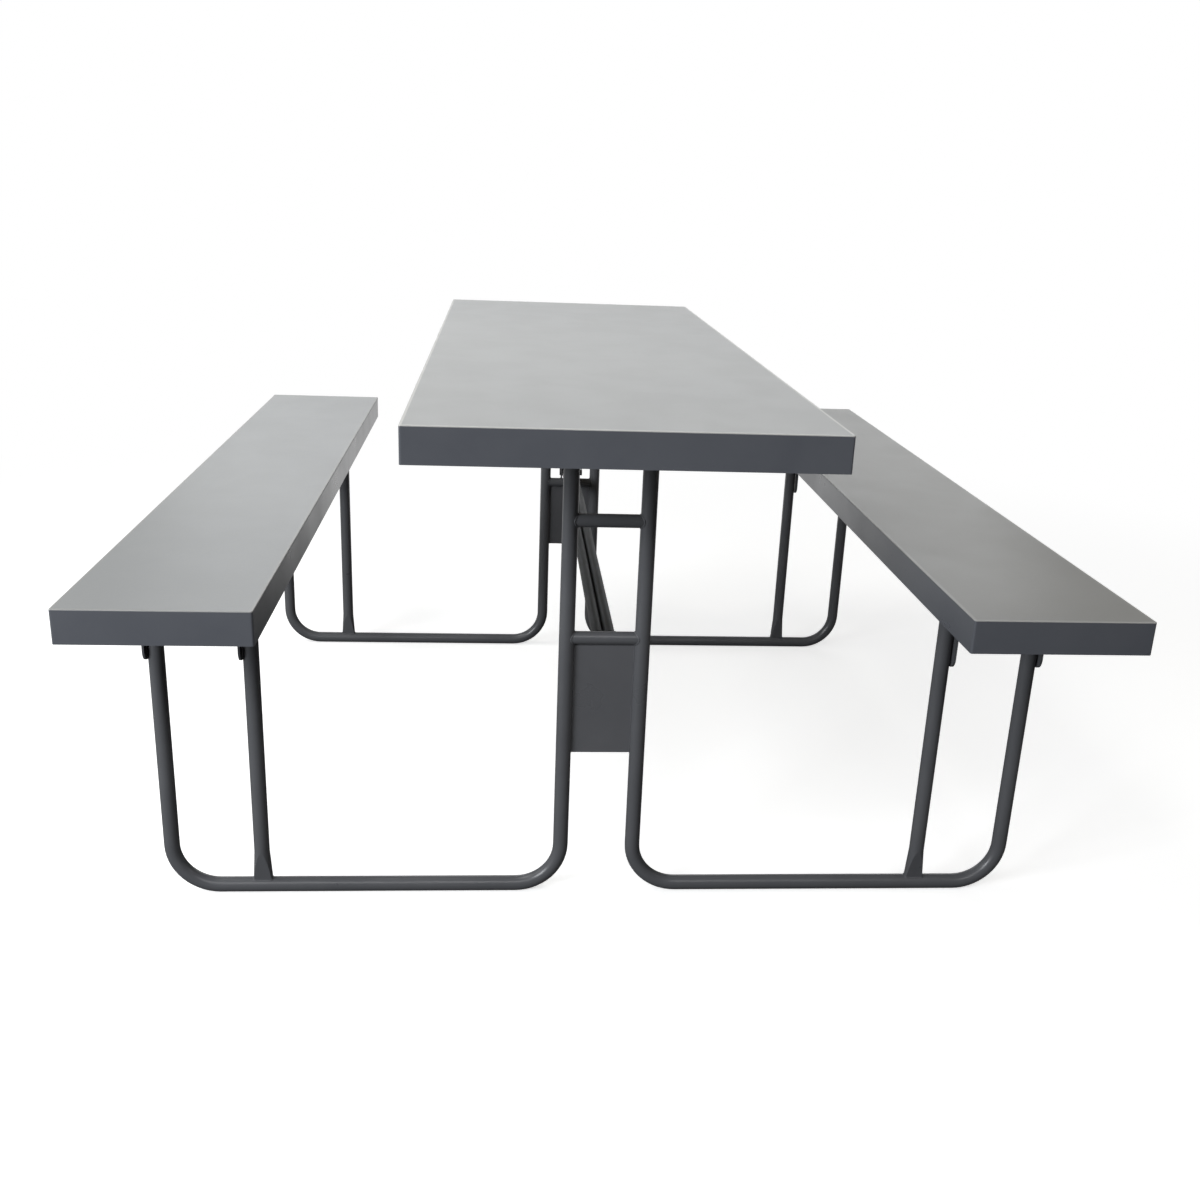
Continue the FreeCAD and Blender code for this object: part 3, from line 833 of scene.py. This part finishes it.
# Name, place, target, width, height, power in watts and colour of each light.
LIGHTS = (
    ("back_light", (0.5, 6.0, 2.2), (0.0, 0.0, 0.6), 6.0, 2.5, 76.0, (0.96, 0.98, 1.0)),
    ("front_left_light", (-2.8, -2.6, 1.6), middle_of_table, 1.6, 1.4, 86.0, (0.94, 0.97, 1.0)),
    ("front_high_light", (-0.2, -3.6, 3.0), middle_of_table, 3.2, 1.0, 37.0, (1.0, 1.0, 1.0)),
    ("overhead_left_light", (-1.8, 0.0, 2.4), middle_of_table, 1.6, 2.4, 42.0, (1.0, 1.0, 0.96)),
    ("overhead_light", (0.0, 0.2, 3.4), middle_of_table, 3.5, 3.5, 5.0, (1.0, 1.0, 0.98)),
    ("right_light", (3.0, -1.0, 2.8), middle_of_table, 1.0, 1.4, 13.0, (1.0, 0.95, 0.88)))
camera_place = (-0.1445, -2.1659, 1.0258)
camera_angles = (71.199, -2.153, -3.983)  # degrees
camera_lens = 37.26          # in millimetres, as is the sensor's width
camera_sensor = 36.0
camera_reach = 200.0


def mix_shaders(tree, factor, a, b):
    """Shader node a where the factor is 0 and shader node b where it is 1."""
    return add(tree, "ShaderNodeMixShader", {0: factor, 1: a.outputs[0], 2: b.outputs[0]})


def camera_ray(tree):
    """1 for what the camera sees directly, 0 for reflections and bounces."""
    return add(tree, "ShaderNodeLightPath").outputs["Is Camera Ray"]


def make_floor():
    """A plain pale floor. To the eye it is nearly white, with faint shadows near the table, and it
    fades into the white of the studio further out. As a reflector it is dark under the table, so
    that the frames keep their dark undersides, and white behind it. From below it is clear, so
    that the undersides can be looked at."""
    corners = [(-floor_reach, -floor_reach, 0), (floor_reach, -floor_reach, 0),
               (floor_reach, floor_reach, 0), (-floor_reach, floor_reach, 0)]
    mesh = bpy.data.meshes.new("studio_floor")
    mesh.from_pydata(corners, [], [(0, 1, 2, 3)])
    material = bpy.data.materials.new("studio floor")
    material.use_nodes = True
    tree = material.node_tree
    tree.nodes.clear()
    place = add(tree, "ShaderNodeTexCoord").outputs["Object"]
    distance = add(tree, "ShaderNodeVectorMath", {0: place}, operation="LENGTH").outputs["Value"]
    glow = add(tree, "ShaderNodeEmission", {"Color": WHITE, "Strength": floor_glow})
    pale = add(tree, "ShaderNodeBsdfDiffuse", {"Color": FLOOR_PALE})
    lit = add(tree, "ShaderNodeAddShader", {0: glow.outputs[0], 1: pale.outputs[0]})
    white = add(tree, "ShaderNodeEmission", {"Color": WHITE, "Strength": 1.0})
    dark = add(tree, "ShaderNodeBsdfDiffuse", {"Color": FLOOR_DARK})
    clear = add(tree, "ShaderNodeBsdfTransparent")
    from_below = add(tree, "ShaderNodeNewGeometry").outputs["Backfacing"]
    bounce = mix_shaders(tree, ramp(tree, split(tree, place)["Y"], *bounce_fade), dark, white)
    faded = mix_shaders(tree, ramp(tree, distance, *eye_fade), lit, white)
    look = mix_shaders(tree, from_below, faded, clear)
    both = mix_shaders(tree, camera_ray(tree), bounce, look)
    out = add(tree, "ShaderNodeOutputMaterial")
    tree.links.new(both.outputs[0], out.inputs["Surface"])
    mesh.materials.append(material)
    floor = bpy.data.objects.new("studio_floor", mesh)
    bpy.context.scene.collection.objects.link(floor)


def make_world():
    """A dark studio with a little light from everywhere; white to the eye."""
    world = bpy.data.worlds.new("studio")
    world.use_nodes = True
    tree = world.node_tree
    tree.nodes.clear()
    walls = add(tree, "ShaderNodeBackground", {"Color": WALLS, "Strength": wall_light})
    seen = add(tree, "ShaderNodeBackground", {"Color": WHITE, "Strength": 1.0})
    both = mix_shaders(tree, camera_ray(tree), walls, seen)
    out = add(tree, "ShaderNodeOutputWorld")
    tree.links.new(both.outputs[0], out.inputs["Surface"])
    bpy.context.scene.world = world


def softbox(name, place, target, width, height, power, colour):
    """A rectangular studio light aimed at a point."""
    light = bpy.data.lights.new(name, "AREA")
    light.shape = "RECTANGLE"
    light.size = width
    light.size_y = height
    light.energy = power
    light.color = colour
    lamp = bpy.data.objects.new(name, light)
    lamp.location = place
    lamp.rotation_euler = (Vector(target) - Vector(place)).to_track_quat("-Z", "Y").to_euler()
    bpy.context.scene.collection.objects.link(lamp)


def make_camera():
    """The main view: from the front end, a little above the table."""
    camera = bpy.data.cameras.new("main_camera")
    camera.sensor_width = camera_sensor
    camera.lens = camera_lens
    camera.clip_end = camera_reach
    seat = bpy.data.objects.new("main_camera", camera)
    seat.location = camera_place
    seat.rotation_euler = [math.radians(a) for a in camera_angles]
    bpy.context.scene.collection.objects.link(seat)
    bpy.context.scene.camera = seat


make_floor()
make_world()
for light_row in LIGHTS:
    softbox(*light_row)
make_camera()
bpy.context.scene.view_settings.view_transform = "Standard"
